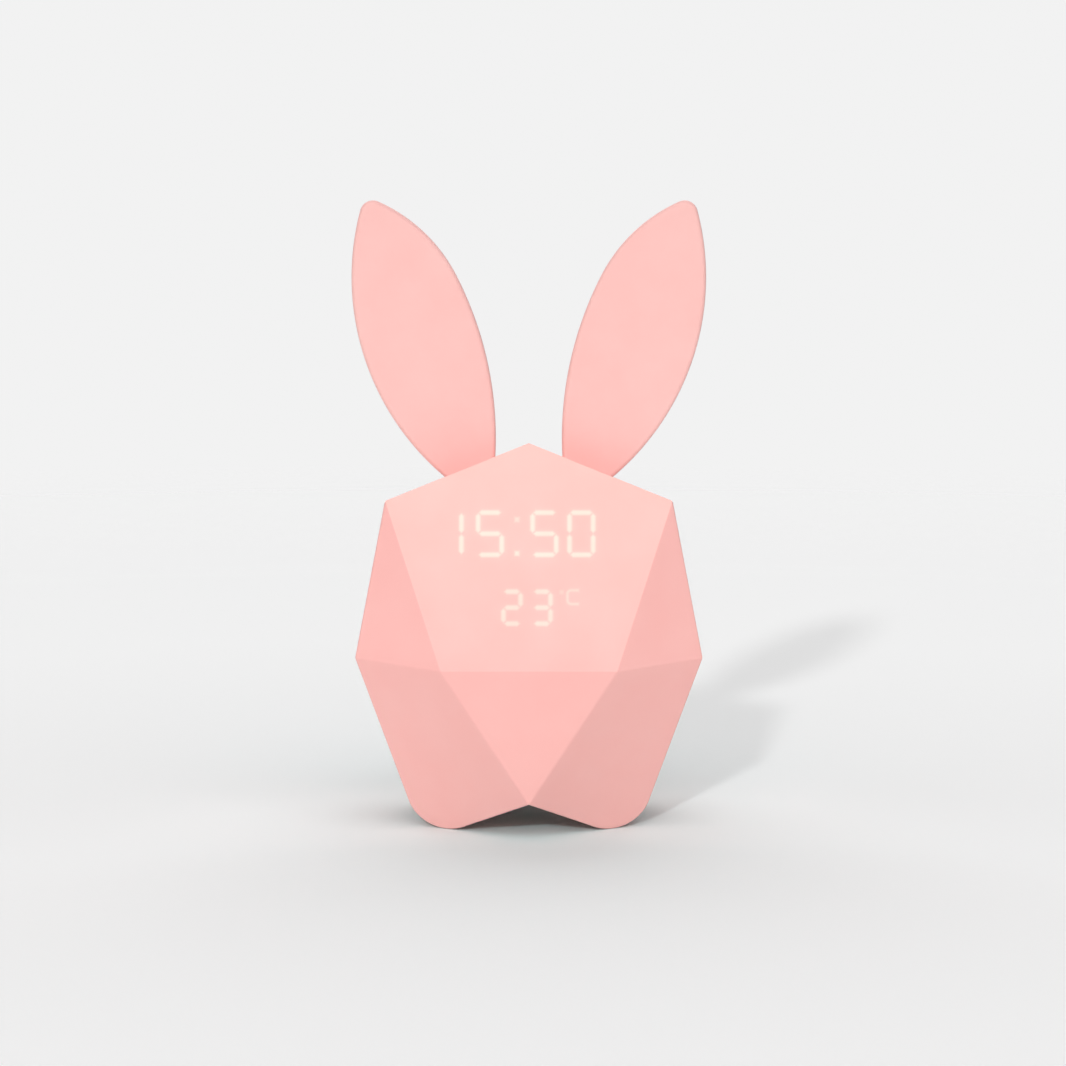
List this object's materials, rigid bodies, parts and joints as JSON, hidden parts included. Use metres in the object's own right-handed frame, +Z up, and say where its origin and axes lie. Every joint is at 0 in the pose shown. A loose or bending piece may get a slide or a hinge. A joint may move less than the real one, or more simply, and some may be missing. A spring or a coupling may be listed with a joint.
{
  "type": "alarm clock",
  "caption": "Kids alarm clock with night light: faceted plastic body on rounded legs, upright soft ears, lit digits showing through the front face, keys and charging socket behind.",
  "frame": {"origin": "on the table under the middle of the body, half-way between the front and rear knee edges", "axes": "+Z up, the display faces -Y, +X to the right of someone who looks at the display"},
  "size_m": [0.0938, 0.092, 0.1685],
  "materials": {
    "pink_body": "fine satin moulding with soft-touch feel",
    "ear_silicone": "soft matt silicone",
    "key_pink": "satin",
    "foot_rubber": "matt",
    "warm_light": "lit warm white resin",
    "circuit_board": "solder mask",
    "frosted_film": "frosted",
    "plated_steel": "zinc plated",
    "foil_pouch": "smooth foil",
    "red_wire": "satin insulation",
    "pale_wire": "satin insulation",
    "white_plastic": "moulded",
    "dark_plastic": "moulded"
  },
  "bodies": {
    "clock": {"front_shell": "pink_body", "rear_shell": "pink_body", "foot_pads": "foot_rubber", "shell_screws": "plated_steel", "ear_left": "ear_silicone", "ear_right": "ear_silicone", "ear_keeper": "white_plastic", "ear_keeper_screw": "plated_steel", "display_diffuser": "frosted_film", "display_reflector": "white_plastic", "display_bars_lit": "warm_light", "display_bars_dark": "white_plastic", "display_leds": "warm_light", "display_board": "circuit_board", "display_board_screws": "plated_steel", "display_connector": "white_plastic", "main_board": "circuit_board", "main_board_screws": "plated_steel", "main_chips": "dark_plastic", "main_connectors": "white_plastic", "ribbon_cable": "pale_wire", "key_switch_bodies": "dark_plastic", "alarm_switch_body": "plated_steel", "usb_socket": "plated_steel", "sound_sensor": "plated_steel", "tap_sensor": "dark_plastic", "temperature_sensor": "dark_plastic", "speaker_basket": "dark_plastic", "speaker_cone": "dark_plastic", "speaker_magnet": "plated_steel", "speaker_ring": "white_plastic", "speaker_screws": "plated_steel", "speaker_lead": "red_wire", "battery_cell": "foil_pouch", "battery_tray": "white_plastic", "battery_strap": "dark_plastic", "battery_tray_screws": "plated_steel", "battery_lead": "red_wire", "light_board": "white_plastic", "light_leds": "warm_light", "light_board_screws": "plated_steel", "light_lead": "pale_wire"},
    "set_key": {"key_set": "key_pink", "key_set_plunger": "dark_plastic"},
    "up_key": {"key_up": "key_pink", "key_up_plunger": "dark_plastic"},
    "down_key": {"key_down": "key_pink", "key_down_plunger": "dark_plastic"},
    "light_key": {"key_light": "key_pink", "key_light_plunger": "dark_plastic"},
    "slider": {"alarm_slider": "dark_plastic"}
  },
  "joints": [
    {"name": "set_key_press", "type": "slide", "parent": "clock", "child": "set_key", "axis": [0, -0.9829, -0.184], "range_m": [0, 0.0005], "stiffness_N_per_m": 1000},
    {"name": "up_key_press", "type": "slide", "parent": "clock", "child": "up_key", "axis": [0, -0.9829, -0.184], "range_m": [0, 0.0005], "stiffness_N_per_m": 1000},
    {"name": "down_key_press", "type": "slide", "parent": "clock", "child": "down_key", "axis": [0, -0.9829, -0.184], "range_m": [0, 0.0005], "stiffness_N_per_m": 1000},
    {"name": "light_key_press", "type": "slide", "parent": "clock", "child": "light_key", "axis": [0, -0.9829, -0.184], "range_m": [0, 0.0005], "stiffness_N_per_m": 1000},
    {"name": "alarm_slide", "type": "slide", "parent": "clock", "child": "slider", "axis": [-1, 0, 0], "range_m": [0, 0.002]}
  ]
}
